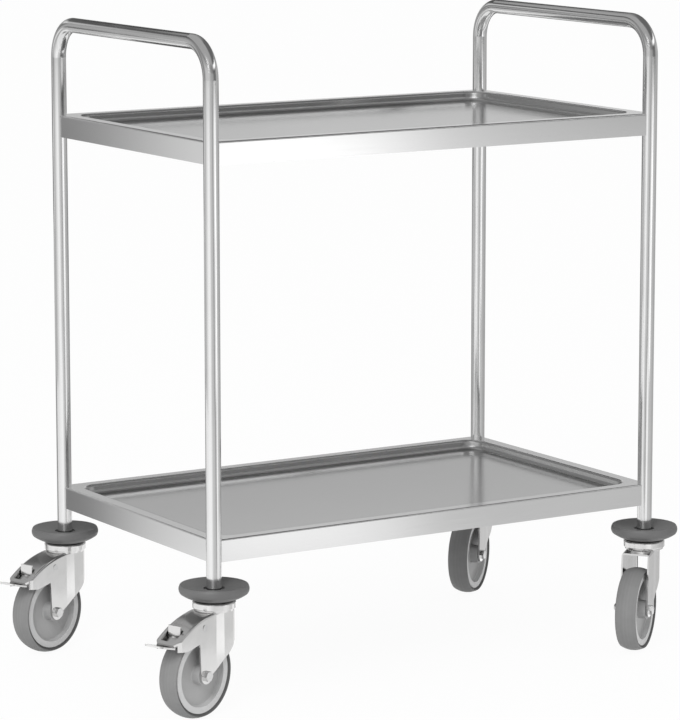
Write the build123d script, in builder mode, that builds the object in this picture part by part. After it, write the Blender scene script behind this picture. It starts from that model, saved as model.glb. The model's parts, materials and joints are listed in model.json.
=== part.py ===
"""Two-tray serving trolley: bent tube end frames, pressed trays and swivel casters, two of them braked."""
import os
from math import cos, radians, sin, sqrt, tan

from build123d import *

os.makedirs("parts", exist_ok=True)

# End frames, each one tube bent into a hoop
LEG_SPAN_X = 750.0
LEG_SPAN_Y = 450.0
OVERALL_HEIGHT = 952.5
TUBE_OD = 22.0
TUBE_WALL = 1.5
TUBE_BEND_R = 50.0

# Trays, pressed from sheet and notched round the legs
UPPER_RIM_Z = 807.0
LOWER_RIM_Z = 247.0
TRAY_OVERHANG = 5.0
SHEET = 1.2
SKIRT_HEIGHT = 32.5
SKIRT_EDGE_R = 2.5
HEM_WIDTH = 12.0
RIM_WIDTH = 22.0
WELL_DEPTH = 14.0
WELL_DRAFT = 12.0
WELL_CORNER_R = 28.0
WELL_EDGE_R = 4.0
WELL_FLOOR_R = 6.0
WELD_GAP = 0.1

# Sound-deadening mats glued under the tray floors
MAT_THICKNESS = 3.0
MAT_MARGIN = 45.0
MAT_CORNER_R = 15.0

# Wheels
WHEEL_DIAMETER = 125.0
TYRE_WIDTH = 32.0
TYRE_BASE_WIDTH = 25.0
TYRE_SHOULDER_DROP = 4.0
HUB_RIM_R = 54.5
HUB_RIM_WALL = 9.0
HUB_RIM_WIDTH = 27.0
HUB_WEB = 9.0
HUB_WEB_R = 2.2
HUB_BOSS_R = 14.0
HUB_SIDE_GAP = 1.0
FIT_GAP = 0.05

# Axles
AXLE_D = 8.0
AXLE_HOLE_GAP = 0.1
AXLE_SLEEVE_WALL = 2.0
BUSH_WALL = 2.5
BOLT_HEAD_FLATS = 13.0
BOLT_HEAD_HEIGHT = 5.3
NUT_HEIGHT = 6.5
NUT_DOME_HEIGHT = 5.5
NUT_DOME_R = 4.4

# Forks, drawn from sheet, with the wheel trailing behind the swivel axis
TRAIL = 42.0
FORK_WIDTH = 43.0
FORK_SHEET = 2.5
FORK_BEND_R = 4.0
FORK_BACK = 25.0
FORK_BACK_WIDTH = 39.0
FORK_BACK_CORNER_R = 6.0
FORK_BACK_BOTTOM_Z = 118.0
FORK_BACK_GAP = 31.0
FORK_BACK_LIP = 14.0
FORK_CREASE = 21.0
FORK_JOG_END = 1.0
FORK_CREASE_R = 8.0
FORK_REAR_KNEE = (-6.0, 83.4)
FORK_EYE_R = 11.5
CROWN_FLAT = 8.0
CROWN_TOP_Z = 150.5
PLAIN_LIP = (47.0, 147.5)
PLAIN_KNEE = (50.0, 124.0)
HOOD_LIP = (105.5, 117.5)
HOOD_NOSE_R = 14.0
HOOD_NOSE_FLAT = 2.0
HOOD_FRONT_FOOT = (102.0, 107.5)
HOOD_UNDERSIDE = (83.0, 105.0)
HOOD_NOTCH = (56.0, 110.5)
HOOD_CUT_REACH = 60.0
WINDOW_REAR = 80.0
WINDOW_FRONT = 101.0
WINDOW_WIDTH = 26.0
WINDOW_CORNER_R = 3.0

# Swivel bearings
HEAD_R = 31.0
HEAD_EDGE_R = 3.2
HEAD_TOP_Z = 161.5
CUP_R = 29.0
CUP_WALL = 4.0
CUP_HEIGHT = 3.1
CUP_EDGE_R = 1.0
CUP_GAP = 0.4
BALL_D = 5.0
BALL_COUNT = 14
BALL_PITCH_R = 22.0
BALL_GAP = 0.1
GROOVE_DEPTH = 0.4
KING_R = 9.0
KING_RUNNING_GAP = 0.08
KING_FLANGE_R = 13.0
KING_FLANGE = 2.7
KING_END_GAP = 0.3
KING_TOP_INSET = 2.0

# Caster bolts and the plugs that they screw into
CASTER_BOLT_D = 10.0
CASTER_BOLT_HOLE_GAP = 0.2
CASTER_BOLT_FLATS = 17.0
CASTER_BOLT_HEAD = 6.4
CASTER_BOLT_REACH = 32.0
PLUG_LENGTH = 40.0

# Bumper discs between legs and casters
BUMPER_R = 50.0
BUMPER_RIM_R = 48.0
BUMPER_RIM_HALF = 6.0
BUMPER_RIM_Z = 177.5
BUMPER_FOOT_R = 21.0
BUMPER_TOP_Z = 178.0
BUMPER_BULGE = 2.0
BUMPER_TUBE_GAP = 4.2
BUMPER_LIP = 2.0
BUMPER_RECESS = 3.0

# Wheel brakes on the two casters at the left end
BRAKE_PIN = (45.0, 132.0)
BRAKE_TRAVEL = 12.0
PIN_R = 3.0
PIN_RUNNING_GAP = 0.06
PIN_HEAD_R = 4.5
PIN_HEAD = 1.0
PEDAL_WIDTH = 34.0
PEDAL_SHEET = 2.5
PEDAL_BARREL_R = 6.0
PEDAL_HEEL = (38.0, 135.5)
PEDAL_SHOE_END = (78.0, 126.0)
PEDAL_DIP = (101.0, 111.8)
PEDAL_TIP = (134.0, 120.3)
PEDAL_BEND_R = 12.0
PEDAL_CORNER_R = 9.0
TAB_FOOT = (84.5, 122.0)
TAB_TIP = (85.0, 140.0)
TAB_WIDTH = 22.0
SHOE_START = 16.0
SHOE_END = 31.8
SHOE_DEPTH = 12.0
SHOE_WIDTH = 22.0
SHOE_GAP = 0.3
SPRING_SHEET = 1.0
SPRING_WIDTH = 14.0
SPRING_HEEL = 14.0
SPRING_BEND = 24.0
SPRING_BEND_R = 6.0
SPRING_GAP = 0.3

# Directions in which the wheels trail, turned from the left towards the front
LEFT_TRAIL_ANGLE = 20.0
RIGHT_TRAIL_ANGLE = 38.0

# Sizes that follow from the ones above
tube_r = TUBE_OD / 2
tube_bore_r = tube_r - TUBE_WALL
bar_z = OVERALL_HEIGHT - tube_r
leg_end_z = BUMPER_TOP_Z - BUMPER_RECESS
bumper_recess_r = tube_r + BUMPER_TUBE_GAP
notch_r = tube_r + WELD_GAP
tray_length = LEG_SPAN_X + 2 * TRAY_OVERHANG
tray_width = LEG_SPAN_Y + 2 * TRAY_OVERHANG
well_length = tray_length - 2 * RIM_WIDTH
well_width = tray_width - 2 * RIM_WIDTH
wheel_r = WHEEL_DIAMETER / 2
fork_gap = FORK_WIDTH - 2 * FORK_SHEET
hub_length = fork_gap - 2 * HUB_SIDE_GAP
sleeve_r = AXLE_D / 2 + FIT_GAP + AXLE_SLEEVE_WALL
bush_r = sleeve_r + FIT_GAP + BUSH_WALL
axle_hole_r = AXLE_D / 2 + AXLE_HOLE_GAP
crown_z = CROWN_TOP_Z - FORK_SHEET
head_z = CROWN_TOP_Z + CUP_HEIGHT + CUP_GAP
head_foot_z = CROWN_TOP_Z + CUP_GAP
ball_r = BALL_D / 2
ball_z = CROWN_TOP_Z - GROOVE_DEPTH + ball_r + BALL_GAP
king_foot_z = crown_z - KING_END_GAP - KING_FLANGE
caster_bolt_hole_r = CASTER_BOLT_D / 2 + CASTER_BOLT_HOLE_GAP

corners = {
    "front_left": (-1, -1),
    "rear_left": (-1, 1),
    "front_right": (1, -1),
    "rear_right": (1, 1),
}
leg_grid = (LEG_SPAN_X, LEG_SPAN_Y, 2, 2)


def save(piece, name):
    """Label a finished piece and write it."""
    piece.label = name
    export_step(piece, f"parts/{name}.step")


# End frames
def end_frame(x):
    front, rear = -LEG_SPAN_Y / 2, LEG_SPAN_Y / 2
    with BuildPart() as frame:
        with BuildLine():
            FilletPolyline(
                (x, front, leg_end_z), (x, front, bar_z), (x, rear, bar_z), (x, rear, leg_end_z),
                radius=TUBE_BEND_R,
            )
        with BuildSketch(Plane((x, front, leg_end_z))):
            Circle(tube_r)
            Circle(tube_bore_r, mode=Mode.SUBTRACT)
        sweep()
    return frame.part


save(end_frame(-LEG_SPAN_X / 2), "left_end_frame")
save(end_frame(LEG_SPAN_X / 2), "right_end_frame")


# Trays
def tray_form(rim_z, inset):
    """The block under the tray's pressed face, with every face moved in by inset."""
    top_z = rim_z - inset
    floor_z = top_z - WELL_DEPTH
    grow = 2 * inset * (1 / cos(radians(WELL_DRAFT)) - tan(radians(WELL_DRAFT)))
    lean = WELL_DEPTH * tan(radians(WELL_DRAFT))
    corner_r = WELL_CORNER_R + grow / 2
    with BuildPart() as form:
        with BuildSketch(Plane.XY.offset(rim_z - SKIRT_HEIGHT + inset)):
            Rectangle(tray_length - 2 * inset, tray_width - 2 * inset)
        extrude(amount=SKIRT_HEIGHT - 2 * inset)
        fillet(form.faces().sort_by(Axis.Z)[-1].edges(), SKIRT_EDGE_R - inset)
        with BuildSketch(Plane.XY.offset(top_z)):
            with GridLocations(*leg_grid):
                Circle(notch_r + inset)
        extrude(amount=-SKIRT_HEIGHT, mode=Mode.SUBTRACT)
        with BuildSketch(Plane.XY.offset(top_z)):
            RectangleRounded(well_length + grow, well_width + grow, corner_r)
        with BuildSketch(Plane.XY.offset(floor_z)):
            RectangleRounded(well_length + grow - 2 * lean, well_width + grow - 2 * lean, corner_r - lean)
        loft(ruled=True, mode=Mode.SUBTRACT)
        well_edges = form.edges(Select.LAST)
        fillet(well_edges.group_by(Axis.Z)[-1], WELL_EDGE_R - inset)
        fillet(form.edges().filter_by_position(Axis.Z, floor_z, floor_z), WELL_FLOOR_R + inset)
    return form.part


def tray(rim_z):
    with BuildPart() as pressing:
        add(tray_form(rim_z, 0))
        add(tray_form(rim_z, SHEET), mode=Mode.SUBTRACT)
        with BuildSketch(Plane.XY.offset(rim_z - SKIRT_HEIGHT)):
            Rectangle(tray_length - 2 * HEM_WIDTH, tray_width - 2 * HEM_WIDTH)
            with GridLocations(*leg_grid):
                Circle(notch_r + HEM_WIDTH, mode=Mode.SUBTRACT)
        extrude(amount=SHEET, mode=Mode.SUBTRACT)
    return pressing.part


def sound_mat(rim_z):
    with BuildPart() as mat:
        with BuildSketch(Plane.XY.offset(rim_z - WELL_DEPTH - SHEET)):
            RectangleRounded(well_length - 2 * MAT_MARGIN, well_width - 2 * MAT_MARGIN, MAT_CORNER_R)
        extrude(amount=-MAT_THICKNESS)
    return mat.part


for level, rim_z in (("upper", UPPER_RIM_Z), ("lower", LOWER_RIM_Z)):
    save(tray(rim_z), f"{level}_shelf")
    save(sound_mat(rim_z), f"{level}_sound_mat")


# Fasteners of the four casters, alike at each leg
with BuildPart() as tube_plugs:
    with BuildSketch(Plane.XY.offset(leg_end_z)):
        with GridLocations(*leg_grid):
            Circle(tube_bore_r - FIT_GAP)
            Circle(CASTER_BOLT_D / 2 + FIT_GAP, mode=Mode.SUBTRACT)
    extrude(amount=PLUG_LENGTH)
save(tube_plugs.part, "tube_plugs")

with BuildPart() as caster_bolts:
    with BuildSketch(Plane.XY.offset(king_foot_z)):
        with GridLocations(*leg_grid):
            RegularPolygon(CASTER_BOLT_FLATS / 2, 6, major_radius=False)
    extrude(amount=-CASTER_BOLT_HEAD)
    with BuildSketch(Plane.XY.offset(king_foot_z)):
        with GridLocations(*leg_grid):
            Circle(CASTER_BOLT_D / 2)
    extrude(amount=leg_end_z + CASTER_BOLT_REACH - king_foot_z)
save(caster_bolts.part, "caster_bolts")

with BuildPart() as king_sleeves:
    with BuildSketch(Plane.XY.offset(king_foot_z)):
        with GridLocations(*leg_grid):
            Circle(KING_FLANGE_R)
    extrude(amount=KING_FLANGE)
    with BuildSketch(Plane.XY.offset(king_foot_z)):
        with GridLocations(*leg_grid):
            Circle(KING_R)
    extrude(amount=HEAD_TOP_Z - KING_TOP_INSET - king_foot_z)
    with BuildSketch(Plane.XY.offset(king_foot_z)):
        with GridLocations(*leg_grid):
            Circle(caster_bolt_hole_r)
    extrude(amount=HEAD_TOP_Z - king_foot_z, mode=Mode.SUBTRACT)
save(king_sleeves.part, "king_sleeves")


class Caster:
    """Where one caster stands: its leg, the way it trails and the planes its pieces are drawn on."""

    def __init__(self, side_x, side_y):
        self.leg = Vector(side_x * LEG_SPAN_X / 2, side_y * LEG_SPAN_Y / 2, 0)
        self.braked = side_x < 0
        angle = radians(LEFT_TRAIL_ANGLE if self.braked else RIGHT_TRAIL_ANGLE)
        self.trail = Vector(-cos(angle), -sin(angle), 0)
        self.across = Vector(self.trail.Y, -self.trail.X, 0)
        self.hub = self.leg + self.trail * TRAIL + Vector(0, 0, wheel_r)
        self.stem_axis = Axis(self.leg, (0, 0, 1))
        self.axle_axis = Axis(self.hub, self.across)
        self.side = Plane(self.leg, x_dir=self.trail, z_dir=self.across)
        self.radial = Plane(self.hub, x_dir=self.across, z_dir=self.trail * -1)

    def level(self, z):
        """Flat plane at height z, with x along the trail."""
        return Plane(self.leg + Vector(0, 0, z), x_dir=self.trail, z_dir=(0, 0, 1))

    def face(self, offset):
        """Plane across the axle, offset from the middle of the wheel, centred on the axle."""
        return Plane(self.hub + self.across * offset, x_dir=self.trail, z_dir=self.across)


# Bumper discs and swivel bearings
def bumper(caster):
    rim_low, rim_high = BUMPER_RIM_Z - BUMPER_RIM_HALF, BUMPER_RIM_Z + BUMPER_RIM_HALF
    with BuildPart() as disc:
        with BuildSketch(caster.side):
            with BuildLine():
                Polyline(
                    (BUMPER_RIM_R, rim_high), (bumper_recess_r + BUMPER_LIP, BUMPER_TOP_Z),
                    (bumper_recess_r, BUMPER_TOP_Z), (bumper_recess_r, leg_end_z),
                    (caster_bolt_hole_r, leg_end_z), (caster_bolt_hole_r, HEAD_TOP_Z),
                    (BUMPER_FOOT_R, HEAD_TOP_Z),
                )
                SagittaArc((BUMPER_FOOT_R, HEAD_TOP_Z), (BUMPER_RIM_R, rim_low), -BUMPER_BULGE)
                ThreePointArc((BUMPER_RIM_R, rim_low), (BUMPER_R, BUMPER_RIM_Z), (BUMPER_RIM_R, rim_high))
            make_face()
        revolve(axis=caster.stem_axis)
    return disc.part


def ball_groove(caster):
    with BuildPart() as groove:
        with BuildSketch(caster.side):
            with Locations((BALL_PITCH_R, ball_z)):
                Circle(ball_r + BALL_GAP)
        revolve(axis=caster.stem_axis)
    return groove.part


def swivel_head(caster):
    bore_top = HEAD_TOP_Z - KING_TOP_INSET + FIT_GAP
    with BuildPart() as head:
        with BuildSketch(caster.level(head_foot_z)):
            Circle(HEAD_R)
        extrude(amount=HEAD_TOP_Z - head_foot_z)
        fillet(head.edges().group_by(Axis.Z)[-1], HEAD_EDGE_R)
        fillet(head.edges().group_by(Axis.Z)[0], CUP_EDGE_R)
        with BuildSketch(caster.level(head_foot_z)):
            Circle(CUP_R + CUP_GAP)
        extrude(amount=head_z - head_foot_z, mode=Mode.SUBTRACT)
        with BuildSketch(caster.level(head_z)):
            Circle(caster_bolt_hole_r)
        extrude(amount=HEAD_TOP_Z - head_z, mode=Mode.SUBTRACT)
        with BuildSketch(caster.level(head_z)):
            Circle(KING_R + FIT_GAP)
        extrude(amount=bore_top - head_z, mode=Mode.SUBTRACT)
        add(ball_groove(caster), mode=Mode.SUBTRACT)
    return head.part


def ball_ring(caster):
    with BuildPart(caster.level(ball_z)) as balls:
        with PolarLocations(BALL_PITCH_R, BALL_COUNT):
            Sphere(ball_r)
    return balls.part


# Forks
def hood_radius(lip):
    """Radius of the arc that leaves the flat crown level and ends at the lip."""
    run, drop = lip[0] - CROWN_FLAT, CROWN_TOP_Z - lip[1]
    return (run ** 2 + drop ** 2) / (2 * drop)


def fork_outline(caster):
    """Side view of the fork's outer faces, as a sketch on the caster's side plane."""
    lip = HOOD_LIP if caster.braked else PLAIN_LIP
    front = [lip, HOOD_FRONT_FOOT, HOOD_UNDERSIDE, HOOD_NOTCH] if caster.braked else [lip, PLAIN_KNEE]
    eye_front, eye_rear = (TRAIL + FORK_EYE_R, wheel_r), (TRAIL - FORK_EYE_R, wheel_r)
    with BuildSketch(caster.side) as outline:
        with BuildLine():
            Polyline(*front, eye_front)
            ThreePointArc(eye_front, (TRAIL, wheel_r - FORK_EYE_R), eye_rear)
            Line(eye_rear, FORK_REAR_KNEE)
            TangentArc((-FORK_BACK, FORK_BACK_BOTTOM_Z), FORK_REAR_KNEE, tangent=(0, -1))
            Polyline((-FORK_BACK, FORK_BACK_BOTTOM_Z), (-FORK_BACK, CROWN_TOP_Z), (CROWN_FLAT, CROWN_TOP_Z))
            TangentArc((CROWN_FLAT, CROWN_TOP_Z), lip, tangent=(1, 0))
        make_face()
    return outline.sketch


def under_hood(lip, u):
    """Height of the hood's inner face at u along the trail."""
    arc_r = hood_radius(lip)
    return CROWN_TOP_Z - arc_r + sqrt((arc_r - FORK_SHEET) ** 2 - (u - CROWN_FLAT) ** 2)


def fork_hollow_outline(caster):
    """Side view of the space under the fork's crown and hood, open below and in front."""
    lip = HOOD_LIP if caster.braked else PLAIN_LIP
    arc_r = hood_radius(lip)
    share = (arc_r - FORK_SHEET) / arc_r
    arc_centre_z = CROWN_TOP_Z - arc_r
    inner_lip = (CROWN_FLAT + (lip[0] - CROWN_FLAT) * share, arc_centre_z + (lip[1] - arc_centre_z) * share)
    slope = (lip[0] - CROWN_FLAT) / (lip[1] - arc_centre_z)
    reach = (inner_lip[0] + HOOD_CUT_REACH, inner_lip[1] - slope * HOOD_CUT_REACH)
    with BuildSketch(caster.side) as outline:
        with BuildLine():
            TangentArc((CROWN_FLAT, crown_z), inner_lip, tangent=(1, 0))
            Polyline(
                inner_lip, reach, (reach[0], -HOOD_CUT_REACH), (-FORK_BACK, -HOOD_CUT_REACH),
                (-FORK_BACK, crown_z), (CROWN_FLAT, crown_z),
            )
        make_face()
    return outline.sketch


def fork_plan(caster, inset):
    """Block as wide as the fork, less inset, which steps in to a narrower back with rounded corners."""
    half, back_half = FORK_WIDTH / 2, FORK_BACK_WIDTH / 2
    front = HOOD_LIP[0] + HOOD_CUT_REACH
    jog = [FORK_CREASE_R, FORK_CREASE_R]
    with BuildPart() as plan:
        with BuildSketch(caster.level(0)):
            with BuildLine():
                FilletPolyline(
                    (front, -half), (FORK_CREASE, -half), (FORK_JOG_END, -back_half),
                    (-FORK_BACK, -back_half), (-FORK_BACK, back_half),
                    (FORK_JOG_END, back_half), (FORK_CREASE, half), (front, half),
                    radius=jog + [FORK_BACK_CORNER_R] * 2 + jog,
                )
                Line((front, half), (front, -half))
            make_face()
            offset(amount=-inset)
        extrude(amount=CROWN_TOP_Z)
    return plan.part


def fork_block(caster, outline, inset):
    """The side view drawn out across the fork, within the plan."""
    with BuildPart() as block:
        extrude(outline, amount=FORK_WIDTH, both=True)
        add(fork_plan(caster, inset), mode=Mode.INTERSECT)
    return block.part


def fork(caster):
    cup_top = CROWN_TOP_Z + CUP_HEIGHT
    back_gap_top = crown_z - FORK_BACK_LIP
    with BuildPart() as body:
        add(fork_block(caster, fork_outline(caster), 0))
        crown = body.faces().sort_by(Axis.Z)[-1]
        fillet(crown.edges().filter_by(Axis(caster.leg, caster.trail)), FORK_BEND_R)
        add(fork_block(caster, fork_hollow_outline(caster), FORK_SHEET), mode=Mode.SUBTRACT)
        with BuildSketch(caster.level(0)):
            with Locations((-FORK_BACK, 0)):
                Rectangle(2 * FORK_BACK_CORNER_R, FORK_BACK_GAP)
        extrude(amount=back_gap_top, mode=Mode.SUBTRACT)
        with BuildSketch(caster.level(crown_z)):
            Circle(CUP_R)
        extrude(amount=cup_top - crown_z)
        fillet(body.edges().group_by(Axis.Z)[-1], CUP_EDGE_R)
        with BuildSketch(caster.level(CROWN_TOP_Z)):
            Circle(CUP_R - CUP_WALL)
        extrude(amount=CUP_HEIGHT, mode=Mode.SUBTRACT)
        add(ball_groove(caster), mode=Mode.SUBTRACT)
        with BuildSketch(caster.level(king_foot_z)):
            Circle(KING_R + KING_RUNNING_GAP)
        extrude(amount=CROWN_TOP_Z - king_foot_z, mode=Mode.SUBTRACT)
        with BuildSketch(caster.face(0)):
            Circle(axle_hole_r)
        extrude(amount=FORK_WIDTH, both=True, mode=Mode.SUBTRACT)
        if caster.braked:
            nose = HOOD_LIP[0] + HOOD_NOSE_FLAT
            with BuildSketch(caster.level(0)):
                with Locations((nose, 0)):
                    Rectangle(2 * HOOD_NOSE_R, 2 * FORK_WIDTH)
                with Locations((nose - 2 * HOOD_NOSE_R, 0)):
                    RectangleRounded(4 * HOOD_NOSE_R, FORK_WIDTH + FIT_GAP, HOOD_NOSE_R, mode=Mode.SUBTRACT)
            extrude(amount=CROWN_TOP_Z, mode=Mode.SUBTRACT)
            with BuildSketch(caster.side):
                with Locations(BRAKE_PIN):
                    Circle(PIN_R + FIT_GAP)
            extrude(amount=FORK_WIDTH, both=True, mode=Mode.SUBTRACT)
            with BuildSketch(caster.level(HOOD_LIP[1])):
                with Locations(((WINDOW_REAR + WINDOW_FRONT) / 2, 0)):
                    RectangleRounded(WINDOW_FRONT - WINDOW_REAR, WINDOW_WIDTH, WINDOW_CORNER_R)
            extrude(amount=CROWN_TOP_Z - HOOD_LIP[1], mode=Mode.SUBTRACT)
    return body.part


# Axles
def axle_bolt(caster):
    half = FORK_WIDTH / 2
    with BuildPart() as bolt:
        with BuildSketch(caster.face(-half)):
            RegularPolygon(BOLT_HEAD_FLATS / 2, 6, major_radius=False)
        extrude(amount=-BOLT_HEAD_HEIGHT)
        with BuildSketch(caster.face(-half)):
            Circle(AXLE_D / 2)
        extrude(amount=FORK_WIDTH + NUT_HEIGHT)
    return bolt.part


def axle_nut(caster):
    half = FORK_WIDTH / 2
    dome_r = BOLT_HEAD_FLATS / 2
    with BuildPart() as nut:
        with BuildSketch(caster.face(half)):
            RegularPolygon(dome_r, 6, major_radius=False)
        extrude(amount=NUT_HEIGHT)
        with BuildSketch(caster.face(half + NUT_HEIGHT)):
            Circle(dome_r)
        extrude(amount=NUT_DOME_HEIGHT)
        fillet(nut.edges().sort_by(Axis(caster.hub, caster.across))[-1], NUT_DOME_R)
        with BuildSketch(caster.face(half)):
            Circle(AXLE_D / 2 + FIT_GAP)
        extrude(amount=NUT_HEIGHT + FIT_GAP, mode=Mode.SUBTRACT)
    return nut.part


def ring(caster, bore_r, outer_r, length):
    """Plain ring round the axle, centred in the wheel."""
    with BuildPart() as sleeve:
        with BuildSketch(caster.face(-length / 2)):
            Circle(outer_r)
            Circle(bore_r, mode=Mode.SUBTRACT)
        extrude(amount=length)
    return sleeve.part


# Wheels
def wheel_hub(caster):
    half_boss, half_web, half_rim = hub_length / 2, HUB_WEB / 2, HUB_RIM_WIDTH / 2
    rim_r = HUB_RIM_R - FIT_GAP
    rim_inner_r = HUB_RIM_R - HUB_RIM_WALL
    bore_r = bush_r + FIT_GAP
    with BuildPart() as hub:
        with BuildSketch(caster.radial):
            with BuildLine():
                half = Polyline(
                    (0, rim_r), (half_rim, rim_r), (half_rim, rim_inner_r), (half_web, rim_inner_r),
                    (half_web, HUB_BOSS_R), (half_boss, HUB_BOSS_R), (half_boss, bore_r), (0, bore_r),
                )
                mirror(half, about=Plane.YZ)
            make_face()
        revolve(axis=caster.axle_axis)
        web_faces = hub.faces().filter_by(Axis(caster.hub, caster.across)).sort_by(SortBy.AREA)[-2:]
        fillet(web_faces.edges(), HUB_WEB_R)
    return hub.part


def tyre(caster):
    half, half_base = TYRE_WIDTH / 2, TYRE_BASE_WIDTH / 2
    shoulder_r = wheel_r - TYRE_SHOULDER_DROP
    with BuildPart() as band:
        with BuildSketch(caster.radial):
            with BuildLine():
                Polyline(
                    (half, shoulder_r), (half_base, HUB_RIM_R), (-half_base, HUB_RIM_R), (-half, shoulder_r)
                )
                ThreePointArc((-half, shoulder_r), (0, wheel_r), (half, shoulder_r))
            make_face()
        revolve(axis=caster.axle_axis)
    return band.part


# Wheel brakes
def brake_pin(caster):
    half = FORK_WIDTH / 2
    with BuildPart() as pin:
        with BuildSketch(caster.side):
            with Locations(BRAKE_PIN):
                Circle(PIN_R)
        extrude(amount=half, both=True)
        for end in (-1, 1):
            with BuildSketch(caster.side.offset(end * half)):
                with Locations(BRAKE_PIN):
                    Circle(PIN_HEAD_R)
            extrude(amount=end * PIN_HEAD)
    return pin.part


def brake_pedal(caster):
    with BuildPart() as pedal:
        with BuildSketch(caster.side):
            with BuildLine():
                FilletPolyline(PEDAL_HEEL, PEDAL_SHOE_END, PEDAL_DIP, PEDAL_TIP, radius=PEDAL_BEND_R)
            trace(line_width=PEDAL_SHEET)
            with Locations(BRAKE_PIN):
                Circle(PEDAL_BARREL_R)
        extrude(amount=PEDAL_WIDTH / 2, both=True)
        tip = pedal.faces().filter_by(GeomType.PLANE).sort_by(Axis(caster.leg, caster.trail))[-1]
        fillet(tip.edges().filter_by(Axis(caster.leg, caster.across), reverse=True), PEDAL_CORNER_R)
        with BuildSketch(caster.side):
            with BuildLine():
                Line(TAB_FOOT, TAB_TIP)
            trace(line_width=PEDAL_SHEET)
        extrude(amount=TAB_WIDTH / 2, both=True)
        with BuildSketch(caster.side):
            with Locations(BRAKE_PIN):
                Circle(PIN_R + PIN_RUNNING_GAP)
        extrude(amount=PEDAL_WIDTH, both=True, mode=Mode.SUBTRACT)
    return pedal.part


def brake_shoe(caster):
    """Block under the pedal, hollowed to the tyre as it stands when the pedal is down."""
    heel, end = Vector(*PEDAL_HEEL), Vector(*PEDAL_SHOE_END)
    along = (end - heel).normalized()
    down = Vector(along.Y, -along.X)
    start = heel + along * SHOE_START + down * (PEDAL_SHEET / 2)
    stop = heel + along * SHOE_END + down * (PEDAL_SHEET / 2)
    block = [start, stop, stop + down * SHOE_DEPTH, start + down * SHOE_DEPTH]
    turn = radians(BRAKE_TRAVEL)
    axle_u, axle_z = TRAIL - BRAKE_PIN[0], wheel_r - BRAKE_PIN[1]
    tyre_u = BRAKE_PIN[0] + axle_u * cos(turn) - axle_z * sin(turn)
    tyre_z = BRAKE_PIN[1] + axle_u * sin(turn) + axle_z * cos(turn)
    with BuildPart() as shoe:
        with BuildSketch(caster.side):
            with BuildLine():
                Polyline(*[(c.X, c.Y) for c in block], close=True)
            make_face()
            with Locations((tyre_u, tyre_z)):
                Circle(wheel_r + SHOE_GAP, mode=Mode.SUBTRACT)
        extrude(amount=SHOE_WIDTH / 2, both=True)
    return shoe.part


def brake_spring(caster):
    """Leaf under the crown that bears on the pedal's barrel."""
    half = SPRING_SHEET / 2
    foot = [(u, under_hood(HOOD_LIP, u) - half) for u in (SPRING_HEEL, SPRING_BEND)]
    tip_z = BRAKE_PIN[1] + PEDAL_BARREL_R + SPRING_GAP + half
    with BuildPart() as spring:
        with BuildSketch(caster.side):
            with BuildLine():
                FilletPolyline(*foot, (BRAKE_PIN[0], tip_z), radius=SPRING_BEND_R)
            trace(line_width=SPRING_SHEET)
        extrude(amount=SPRING_WIDTH / 2, both=True)
    return spring.part


# Casters
for corner, sides in corners.items():
    caster = Caster(*sides)
    save(bumper(caster), f"{corner}_bumper")
    save(swivel_head(caster), f"{corner}_swivel_head")
    save(ball_ring(caster), f"{corner}_ball_ring")
    save(fork(caster), f"{corner}_fork")
    save(axle_bolt(caster), f"{corner}_axle_bolt")
    save(axle_nut(caster), f"{corner}_axle_nut")
    save(ring(caster, AXLE_D / 2 + FIT_GAP, sleeve_r, fork_gap), f"{corner}_axle_sleeve")
    save(ring(caster, sleeve_r + FIT_GAP, bush_r, hub_length), f"{corner}_wheel_bush")
    save(wheel_hub(caster), f"{corner}_wheel_hub")
    save(tyre(caster), f"{corner}_tyre")
    if caster.braked:
        save(brake_pin(caster), f"{corner}_brake_pin")
        save(brake_pedal(caster), f"{corner}_brake_pedal")
        save(brake_shoe(caster), f"{corner}_brake_shoe")
        save(brake_spring(caster), f"{corner}_brake_spring")
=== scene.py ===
"""Looks of the serving trolley: a finish for every piece, a pale floor, soft light and the camera."""
import json
from math import cos, radians, sin

import bpy
from mathutils import Matrix, Vector

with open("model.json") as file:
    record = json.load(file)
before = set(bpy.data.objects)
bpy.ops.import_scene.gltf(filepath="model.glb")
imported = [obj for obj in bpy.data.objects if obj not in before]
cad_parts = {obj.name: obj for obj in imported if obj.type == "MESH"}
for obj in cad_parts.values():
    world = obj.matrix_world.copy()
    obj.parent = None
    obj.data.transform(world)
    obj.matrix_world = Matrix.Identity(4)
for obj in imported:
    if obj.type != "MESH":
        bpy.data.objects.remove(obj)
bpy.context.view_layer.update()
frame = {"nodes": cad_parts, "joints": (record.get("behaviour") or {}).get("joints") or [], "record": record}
nodes = frame["nodes"]
joints = {joint["name"]: joint for joint in frame["joints"]}
CORNERS = ("front_left", "rear_left", "front_right", "rear_right")
TRAYS = ("upper_shelf", "lower_shelf")

# Camera, where the photograph was taken from
CAMERA_PLACE = (-2.8481, -4.5321, 1.3360)
CAMERA_AZIMUTH = 31.907
CAMERA_PITCH = 9.534
CAMERA_ROLL = -0.04
CAMERA_LENS = 181.165

# Wheels: distances from the axle over which the tyre's side, darkened by painted shade, turns into tread, and
# the hub's web into rim with its painted highlight
TYRE_SIDE_R = (0.0575, 0.0590)
HUB_RIM_R = (0.0448, 0.0458)

# Trays: distance from a rim's height over which its painted highlight fades out
RIM_FADE = (0.0003, 0.0010)

# Trays: depths below the rim over which a well's wall and its two bends, which are darkened by painted shade,
# set in and end
WALL_BAND = ((0.0006, 0.0020), (0.0115, 0.0138))
BEND_BANDS = (((0.0006, 0.0012), (0.0030, 0.0036)), ((0.0080, 0.0088), (0.0118, 0.0134)))

# Trays: how far inside the skirt a well is sought
SKIRT_CLEAR = 0.004
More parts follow.
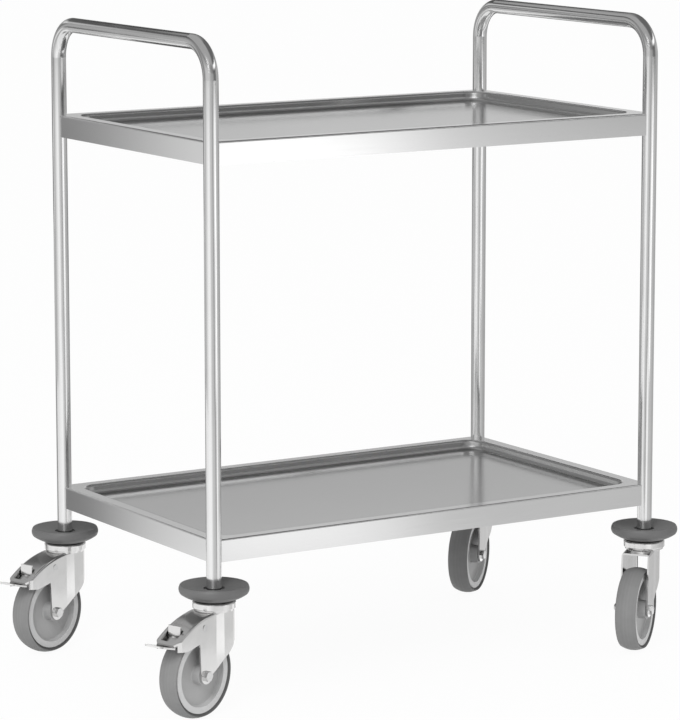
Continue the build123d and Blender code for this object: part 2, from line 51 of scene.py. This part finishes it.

# Painted shade and painted highlights of these places, which multiply the tone of the finish, and the
# roughness that the bends add
TYRE_SIDE_PAINTED_SHADE = 0.35
HUB_RIM_PAINTED_HIGHLIGHT = 1.45
TRAY_RIM_PAINTED_HIGHLIGHT = 1.28
WALL_PAINTED_SHADE = 0.74
BEND_PAINTED_SHADE = 0.80
BEND_ROUGHNESS = 0.24

# Floor and light
FLOOR_REACH = 40.0
FLOOR_ALBEDO = 0.92
FLOOR_GLOW = 0.95
WORLD_STRENGTH = 0.75
KEY_PLACE = (-2.6, -2.2, 2.6)
KEY_TARGET = (0, 0, 0.4)
KEY_SIZE = 1.6
KEY_POWER = 60.0

# Cloth round the set, which only reflections see: radius and top of its rings, and degrees between its points
NEAR_R = 1.05
NEAR_TOP_Z = 0.30
MIDWAY_R = 1.9
MIDWAY_TOP_Z = 0.45
FAR_R = 3.2
CEILING_Z = 2.6
CLOTH_STEP = 1

# Greys of the cloth, as pairs of degrees and a tone there: 0 is the front, 90 the right and -90 the left
LEFT_TONES = ((-75, 1.15), (-58, 1.15), (-42, 0.72), (-20, 0.62), (-16, 0.42), (-7, 0.42), (-4, 0.80))
NEAR_TONES = (
    (-180, 0.50), (-150, 0.50), (-141, 0.22), (-137, 0.25), (-132, 0.68), (-127, 0.89), (-122, 0.95),
    *LEFT_TONES, (7, 1.22), (17, 1.16), (22, 1.00), (27, 0.66), (43, 0.66), (75, 0.50), (110, 0.45),
    (130, 0.30), (165, 0.30), (180, 0.50),
)
MIDWAY_TONES = (
    (-180, 0.45), (-165, 0.60), (-142, 0.60), (-125, 0.50), *LEFT_TONES, (15, 1.25), (24, 1.50), (28, 1.50),
    (31, 0.85), (38, 0.66), (75, 0.50), (110, 0.45), (130, 0.15), (165, 0.15), (180, 0.45),
)
LOW_TONES = (
    (-180, 0.35), (-150, 0.18), (-147, 0.22), (-145, 0.62), (-143, 0.90), (-141, 1.00), (-137, 0.95),
    (-125, 0.50), *LEFT_TONES, (15, 1.35), (24, 1.70), (28, 1.70), (31, 0.92), (33, 0.82), (38, 0.72),
    (75, 0.50), (110, 0.45), (130, 0.15), (165, 0.15), (180, 0.35),
)
FRONT_TONES = (
    (-120, 0.25), (-90, 0.70), (-50, 0.70), (-35, 0.50), (0, 0.40), (15, 0.20), (40, 0.20), (56, 0.50),
)
MIDDLE_TONES = (
    (-180, 0.42), (-160, 0.40), (-140, 0.50), *FRONT_TONES, (140, 0.50), (152, 0.46), (180, 0.42),
)
HIGH_TONES = (
    (-180, 0.35), (-160, 0.22), (-152, 0.25), (-147, 0.50), (-140, 0.50), *FRONT_TONES, (120, 0.68),
    (150, 0.66), (180, 0.35),
)
UPPER_TONES = (
    (-180, 0.40), (-165, 0.80), (-156, 0.80), (-149, 0.40), (-120, 0.30), (-90, 0.50), (-50, 0.50),
    (-35, 0.40), (0, 0.25), (15, 0.16), (40, 0.16), (56, 0.45), (90, 0.35), (130, 0.15), (165, 0.10),
    (180, 0.40),
)
CREST_TONES = (
    (-180, 0.10), (-150, 0.12), (-120, 0.30), (0, 0.30), (22, 0.70), (28, 1.50), (64, 1.50), (86, 0.40),
    (120, 0.12), (165, 0.05), (180, 0.10),
)
TOP_TONES = ((-180, 0.45), (0, 0.45), (15, 0.30), (30, 0.16), (130, 0.16), (160, 0.35), (180, 0.45))

# Far ring: foot, top and tones of its bands, and then radius and tones of the rows across its ceiling
FAR_BANDS = (
    (0.00, 0.54, LOW_TONES),
    (0.64, 0.97, MIDDLE_TONES),
    (1.08, 1.50, HIGH_TONES),
    (1.65, 1.95, UPPER_TONES),
    (2.33, CEILING_Z, CREST_TONES),
)
CEILING_ROWS = ((2.95, CREST_TONES), (2.70, TOP_TONES), (0.01, TOP_TONES))

# Strips of cloth on the floor, which the fork cheeks mirror: their spans along x and y, and their tones
LEFT_STRIP_X = (-0.05, 0.60)
RIGHT_STRIP_X = (0.60, 1.00)
STRIPS = (
    (LEFT_STRIP_X, (-0.62, -0.35), 0.74),
    (LEFT_STRIP_X, (-0.35, -0.17), 1.25),
    (LEFT_STRIP_X, (-0.17, 0.10), 0.74),
    (LEFT_STRIP_X, (0.10, 0.28), 1.25),
    (RIGHT_STRIP_X, (-0.25, 0.20), 0.62),
    (RIGHT_STRIP_X, (0.20, 0.50), 0.68),
)
STRIP_Z = 0.004


class Tree:
    """A node tree, with short calls for the nodes that it often gets."""

    def __init__(self, node_tree):
        self.nodes = node_tree.nodes
        self.links = node_tree.links

    def add(self, kind, **settings):
        node = self.nodes.new(kind)
        for key, value in settings.items():
            setattr(node, key, value)
        return node

    def feed(self, socket, value):
        """Link value to the socket if it is a socket too, or else set it there."""
        if isinstance(value, bpy.types.NodeSocket):
            self.links.new(value, socket)
        else:
            socket.default_value = value

    def maths(self, operation, *values):
        node = self.add("ShaderNodeMath", operation=operation)
        for socket, value in zip(node.inputs, values):
            self.feed(socket, value)
        return node.outputs[0]

    def vector(self, operation, *values):
        node = self.add("ShaderNodeVectorMath", operation=operation)
        for socket, value in zip(node.inputs, values):
            self.feed(socket, value)
        return node.outputs["Value" if operation == "DOT_PRODUCT" else "Vector"]

    def split(self, vector):
        """The vector's x, y and z, as sockets."""
        node = self.add("ShaderNodeSeparateXYZ")
        self.feed(node.inputs["Vector"], vector)
        return node.outputs

    def span(self, value, low, high, start=0.0, end=1.0):
        """Value carried from start..end to low..high, and held there outside."""
        node = self.add("ShaderNodeMapRange")
        for name, number in (("From Min", start), ("From Max", end), ("To Min", low), ("To Max", high)):
            self.feed(node.inputs[name], number)
        self.feed(node.inputs["Value"], value)
        return node.outputs["Result"]

    def band(self, value, rise, fall):
        """1 between the two spans of value over which it rises from 0 and falls back."""
        return self.maths("MULTIPLY", self.span(value, 0.0, 1.0, *rise), self.span(value, 1.0, 0.0, *fall))


class Material(Tree):
    """A material made of nodes."""

    def __init__(self, name):
        self.material = bpy.data.materials.new(name)
        self.material.use_nodes = True
        super().__init__(self.material.node_tree)


class Finish(Material):
    """A material of the trolley."""

    def __init__(self, name):
        super().__init__(name)
        self.shader = self.nodes["Principled BSDF"]
        self.place = self.add("ShaderNodeTexCoord").outputs["Object"]

    def noise(self, scale, detail, stretch=(1, 1, 1), where=None):
        """Noise from 0 to 1, with lumps of about 1/scale metres, drawn out where stretch is small."""
        node = self.add("ShaderNodeTexNoise")
        place = self.place if where is None else where
        self.feed(node.inputs["Vector"], self.vector("MULTIPLY", place, stretch))
        self.feed(node.inputs["Scale"], scale)
        self.feed(node.inputs["Detail"], detail)
        return node.outputs["Fac"]

    def grey(self, tone, warmth=0.0):
        """A grey of that tone, as a colour, with the blue taken down by warmth."""
        node = self.add("ShaderNodeCombineColor")
        for name, share in (("Red", 1.0), ("Green", 1.0 - warmth / 2), ("Blue", 1.0 - warmth)):
            self.feed(node.inputs[name], self.maths("MULTIPLY", tone, share))
        return node.outputs["Color"]

    def bump(self, height, distance, strength):
        node = self.add("ShaderNodeBump")
        self.feed(node.inputs["Height"], height)
        self.feed(node.inputs["Distance"], distance)
        self.feed(node.inputs["Strength"], strength)
        self.feed(self.shader.inputs["Normal"], node.outputs["Normal"])

    def surface(self, **inputs):
        """Set the shader's inputs, with an underscore for a space."""
        for name, value in inputs.items():
            self.feed(self.shader.inputs[name.replace("_", " ")], value)
        return self.material


class Glow(Material):
    """A material of the set that shines by itself."""

    def __init__(self, name):
        super().__init__(name)
        self.nodes.remove(self.nodes["Principled BSDF"])
        self.shader = self.add("ShaderNodeEmission")
        self.show(self.shader)

    def show(self, shader):
        self.feed(self.nodes["Material Output"].inputs["Surface"], shader.outputs[0])


def reach(node, axis):
    """Greatest distance of the node's points from the origin, along that axis."""
    return max(abs(getattr(point.co, axis)) for point in nodes[node].data.vertices)


# Finishes of the trolley
def tube_steel():
    """Polished round tube: nearly a mirror, with faint smudges and fine upright lines."""
    f = Finish("tube_steel")
    smudge = f.noise(scale=18.0, detail=4.0)
    lines = f.noise(scale=700.0, detail=2.0, stretch=(1.0, 1.0, 0.02))
    f.bump(lines, distance=0.00002, strength=0.4)
    tone = f.span(smudge, 0.70, 0.80)
    roughness = f.span(smudge, 0.09, 0.17, start=0.3, end=0.7)
    return f.surface(Metallic=1.0, Base_Color=f.grey(tone), Roughness=roughness)


def tray_zones(f):
    """Distance from the height of a rim, and shares of a well's wall and of its bends, as sockets."""
    x, y, z = f.split(f.place)
    off_rims = [f.maths("ABSOLUTE", f.maths("SUBTRACT", z, reach(tray, "z"))) for tray in TRAYS]
    from_rim = f.maths("MINIMUM", *off_rims)
    in_length = f.maths("LESS_THAN", f.maths("ABSOLUTE", x), reach(TRAYS[0], "x") - SKIRT_CLEAR)
    in_width = f.maths("LESS_THAN", f.maths("ABSOLUTE", y), reach(TRAYS[0], "y") - SKIRT_CLEAR)
    inside = f.maths("MULTIPLY", in_length, in_width)
    wall = f.band(from_rim, *WALL_BAND)
    bends = f.maths("ADD", *(f.band(from_rim, *bend) for bend in BEND_BANDS))
    return from_rim, f.maths("MULTIPLY", inside, wall), f.maths("MULTIPLY", inside, bends)


def tray_steel():
    """Satin sheet with a fine grain along the tray, a painted highlight on the rim, and painted shade on the
    wall and bends of its well.
    """
    f = Finish("tray_steel")
    from_rim, wall, bends = tray_zones(f)
    cloud = f.noise(scale=7.0, detail=3.0)
    grain = f.noise(scale=900.0, detail=2.0, stretch=(0.012, 1.0, 1.0))
    f.bump(grain, distance=0.00001, strength=0.25)
    satin = f.maths("ADD", f.span(cloud, -0.012, 0.012), f.span(grain, 0.70, 0.76))
    # painted highlight: the rim is painted brighter than the rest of the sheet
    rim_highlight = f.maths("MULTIPLY", satin, f.span(from_rim, TRAY_RIM_PAINTED_HIGHLIGHT, 1.0, *RIM_FADE))
    # painted shade: the well's wall and bends are painted darker
    painted_shade = f.maths("MULTIPLY", f.span(wall, 1.0, WALL_PAINTED_SHADE), f.span(bends, 1.0, BEND_PAINTED_SHADE))
    tone = f.maths("MULTIPLY", rim_highlight, painted_shade)
    roughness = f.maths("ADD", f.span(grain, 0.12, 0.19), f.span(bends, 0.0, BEND_ROUGHNESS))
    return f.surface(Metallic=1.0, Base_Color=f.grey(tone), Roughness=roughness)


def zinc():
    """Bright zinc plate on pressed steel, slightly cloudy."""
    f = Finish("zinc")
    cloud = f.noise(scale=45.0, detail=5.0)
    f.bump(f.noise(scale=1600.0, detail=2.0), distance=0.00001, strength=0.2)
    tone = f.span(cloud, 0.68, 0.80)
    return f.surface(Metallic=1.0, Base_Color=f.grey(tone, warmth=0.01), Roughness=f.span(cloud, 0.13, 0.21))


def bolt_steel():
    f = Finish("bolt_steel")
    cloud = f.noise(scale=160.0, detail=3.0)
    tone = f.span(cloud, 0.62, 0.74)
    return f.surface(Metallic=1.0, Base_Color=f.grey(tone), Roughness=f.span(cloud, 0.18, 0.30))


def bearing_steel():
    f = Finish("bearing_steel")
    cloud = f.noise(scale=120.0, detail=3.0)
    tone = f.span(cloud, 0.60, 0.70)
    return f.surface(Metallic=1.0, Base_Color=f.grey(tone), Roughness=f.span(cloud, 0.08, 0.16))


def rubber(name, tone, roughness):
    """Moulded rubber: a dusty bloom over a fine grain."""
    f = Finish(name)
    bloom = f.noise(scale=30.0, detail=5.0)
    f.bump(f.noise(scale=2400.0, detail=2.0), distance=0.00004, strength=0.5)
    return f.surface(
        Base_Color=f.grey(f.span(bloom, tone * 0.86, tone * 1.16)),
        Roughness=f.span(bloom, roughness - 0.06, roughness + 0.06),
    )


def across_wheel(f, corner):
    """Distance along the axle from the wheel's middle plane, and distance from the axle, as sockets."""
    roll = joints[f"{corner}_wheel_roll"]
    arm = f.vector("SUBTRACT", f.place, roll["pos_m"])
    axial = f.vector("DOT_PRODUCT", arm, roll["axis"])
    square = f.maths("SUBTRACT", f.vector("DOT_PRODUCT", arm, arm), f.maths("MULTIPLY", axial, axial))
    return axial, f.maths("SQRT", square)


def tyre_rubber(corner):
    """Grey tread with faint bands worn round it, and painted shade on its sides, where the crease beside the
    hub lies in shadow.
    """
    f = Finish(f"tyre_rubber_{corner}")
    axial, radial = across_wheel(f, corner)
    section = f.add("ShaderNodeCombineXYZ")
    f.feed(section.inputs["X"], axial)
    f.feed(section.inputs["Y"], radial)
    bands = f.noise(scale=260.0, detail=2.0, where=section.outputs["Vector"])
    bloom = f.noise(scale=60.0, detail=5.0)
    f.bump(f.noise(scale=2200.0, detail=2.0), distance=0.00004, strength=0.5)
    tread = f.maths("ADD", f.span(bands, 0.21, 0.27), f.span(bloom, -0.025, 0.025))
    # painted shade: the tyre's sides, below the tread, are painted darker
    tone = f.maths("MULTIPLY", tread, f.span(radial, TYRE_SIDE_PAINTED_SHADE, 1.0, *TYRE_SIDE_R))
    return f.surface(Base_Color=f.grey(tone), Roughness=f.span(bloom, 0.58, 0.72))


def hub_plastic(corner):
    """Moulded grey plastic with a fine eroded skin, and a painted highlight that makes the rim paler than the
    web.
    """
    f = Finish(f"hub_plastic_{corner}")
    radial = across_wheel(f, corner)[1]
    bloom = f.noise(scale=40.0, detail=4.0)
    f.bump(f.noise(scale=1800.0, detail=2.0), distance=0.00003, strength=0.5)
    # painted highlight: the hub's rim is painted paler than its web
    tone = f.maths("MULTIPLY", f.span(bloom, 0.41, 0.47), f.span(radial, 1.0, HUB_RIM_PAINTED_HIGHLIGHT, *HUB_RIM_R))
    return f.surface(Base_Color=f.grey(tone), Roughness=f.span(bloom, 0.42, 0.54))


def bush_plastic():
    f = Finish("bush_plastic")
    bloom = f.noise(scale=90.0, detail=3.0)
    tone = f.span(bloom, 0.62, 0.74)
    return f.surface(Base_Color=f.grey(tone, warmth=0.06), Roughness=f.span(bloom, 0.38, 0.50))


def mat_bitumen():
    f = Finish("mat_bitumen")
    lumps = f.noise(scale=320.0, detail=4.0)
    f.bump(lumps, distance=0.0004, strength=0.6)
    tone = f.span(lumps, 0.03, 0.07)
    return f.surface(Base_Color=f.grey(tone), Roughness=f.span(lumps, 0.70, 0.88))


# Finishes by the record's material slots, apart from those of the wheels
FINISHES = {
    "frame_tube": tube_steel(),
    "tray_steel": tray_steel(),
    "mat_bitumen": mat_bitumen(),
    "caster_zinc": zinc(),
    "bolt_steel": bolt_steel(),
    "bearing_steel": bearing_steel(),
    "bumper_rubber": rubber("bumper_rubber", tone=0.14, roughness=0.5),
    "bush_plastic": bush_plastic(),
    "brake_rubber": rubber("brake_rubber", tone=0.04, roughness=0.7),
}


def dress(node, material):
    slots = nodes[node].data.materials
    slots.clear()
    slots.append(material)


for subpart in frame["record"]["subparts"]:
    if subpart["material_slot"] in FINISHES:
        dress(subpart["node"], FINISHES[subpart["material_slot"]])
for corner in CORNERS:
    dress(f"{corner}_tyre", tyre_rubber(corner))
    dress(f"{corner}_wheel_hub", hub_plastic(corner))


# Set round the trolley
def shown_white(tree, glow):
    """A factor that is glow for camera, glossy and transmission rays and 0 for the rest."""
    path = tree.add("ShaderNodeLightPath").outputs
    seen = tree.maths("MAXIMUM", path["Is Camera Ray"], path["Is Glossy Ray"])
    return tree.maths("MULTIPLY", tree.maths("MAXIMUM", seen, path["Is Transmission Ray"]), glow)


def stage_object(name, mesh, material):
    mesh.materials.append(material)
    obj = bpy.data.objects.new(name, mesh)
    bpy.context.scene.collection.objects.link(obj)
    return obj


def leave_to_reflections(obj):
    obj.visible_camera = False
    obj.visible_diffuse = False
    obj.visible_shadow = False


def sheet(name, span_x, span_y, height, material):
    """A level rectangle over those spans."""
    (left, right), (front, back) = span_x, span_y
    corners = [(left, front, height), (right, front, height), (right, back, height), (left, back, height)]
    mesh = bpy.data.meshes.new(name)
    mesh.from_pydata(corners, [], [(0, 1, 2, 3)])
    return stage_object(name, mesh, material)


def tone_at(direction, tones):
    """Tone in that direction, between the two pairs beside it."""
    for (start, low), (end, high) in zip(tones, tones[1:]):
        if direction <= end:
            return low + (high - low) * (direction - start) / (end - start)


def ring(name, rows, material):
    """A ring of cloth, with rows of a radius, a height and the tones there from the foot up."""
    directions = range(-180, 180, CLOTH_STEP)
    count = len(directions)
    corners, tones = [], []
    for radius, height, row_tones in rows:
        for direction in directions:
            turn = radians(direction)
            corners.append((radius * sin(turn), -radius * cos(turn), height))
            tones.append(tone_at(direction, row_tones))
    faces = []
    for row in range(len(rows) - 1):
        for column in range(count):
            low = row * count + column
            low_next = row * count + (column + 1) % count
            faces.append((low, low_next, low_next + count, low + count))
    mesh = bpy.data.meshes.new(name)
    mesh.from_pydata(corners, [], faces)
    layer = mesh.color_attributes.new("tone", "FLOAT_COLOR", "POINT")
    for point, tone in zip(layer.data, tones):
        point.color = (tone, tone, tone, 1)
    return stage_object(name, mesh, material)


def floor_paper():
    """White paper where it is seen, with the trolley's shadow left on it."""
    f = Glow("floor_paper")
    paper = f.add("ShaderNodeBsdfDiffuse")
    f.feed(paper.inputs["Color"], (FLOOR_ALBEDO, FLOOR_ALBEDO, FLOOR_ALBEDO, 1))
    mix = f.add("ShaderNodeMixShader")
    f.feed(mix.inputs["Fac"], shown_white(f, FLOOR_GLOW))
    f.feed(mix.inputs[1], paper.outputs[0])
    f.feed(mix.inputs[2], f.shader.outputs[0])
    f.show(mix)
    return f.material


def ring_cloth():
    """Cloth that takes its greys from the points of its mesh."""
    f = Glow("cloth")
    tone = f.add("ShaderNodeVertexColor", layer_name="tone")
    f.feed(f.shader.inputs["Color"], tone.outputs["Color"])
    return f.material


def strip_cloth(tone):
    f = Glow("floor_strip")
    f.feed(f.shader.inputs["Color"], (tone, tone, tone, 1))
    return f.material


floor_span = (-FLOOR_REACH, FLOOR_REACH)
sheet("floor", floor_span, floor_span, 0, floor_paper())

near_rows = [(NEAR_R, height, NEAR_TONES) for height in (0, NEAR_TOP_Z)]
midway_rows = [(MIDWAY_R, height, MIDWAY_TONES) for height in (0, MIDWAY_TOP_Z)]
far_rows = [(FAR_R, height, tones) for foot, top, tones in FAR_BANDS for height in (foot, top)]
far_rows += [(radius, CEILING_Z, tones) for radius, tones in CEILING_ROWS]
cloth = ring_cloth()
for name, rows in (("cloth_near", near_rows), ("cloth_middle", midway_rows), ("cloth_far", far_rows)):
    leave_to_reflections(ring(name, rows, cloth))
for span_x, span_y, tone in STRIPS:
    leave_to_reflections(sheet("floor_strip", span_x, span_y, STRIP_Z, strip_cloth(tone)))

# World, white to the camera and in reflections, softer as light
world = bpy.data.worlds.new("studio")
bpy.context.scene.world = world
world.use_nodes = True
studio = Tree(world.node_tree)
backdrop = studio.nodes["Background"]
studio.feed(backdrop.inputs["Color"], (1, 1, 1, 1))
extra = shown_white(studio, 1.0 - WORLD_STRENGTH)
studio.feed(backdrop.inputs["Strength"], studio.maths("ADD", extra, WORLD_STRENGTH))

# Lamp
key_light = bpy.data.lights.new("key_light", "AREA")
key_light.size = KEY_SIZE
key_light.energy = KEY_POWER
key_lamp = bpy.data.objects.new("key_light", key_light)
bpy.context.scene.collection.objects.link(key_lamp)
key_lamp.location = KEY_PLACE
key_lamp.rotation_euler = (Vector(KEY_TARGET) - Vector(KEY_PLACE)).to_track_quat("-Z", "Y").to_euler()

# Camera
camera_data = bpy.data.cameras.new("camera")
camera_data.lens = CAMERA_LENS
camera = bpy.data.objects.new("camera", camera_data)
bpy.context.scene.collection.objects.link(camera)
azimuth, pitch = radians(CAMERA_AZIMUTH), radians(CAMERA_PITCH)
ahead = Vector((sin(azimuth) * cos(pitch), cos(azimuth) * cos(pitch), -sin(pitch)))
turned = ahead.to_track_quat("-Z", "Y").to_matrix() @ Matrix.Rotation(radians(CAMERA_ROLL), 3, "Z")
camera.rotation_euler = turned.to_euler()
camera.location = CAMERA_PLACE
bpy.context.scene.camera = camera
bpy.context.scene.view_settings.view_transform = "Standard"
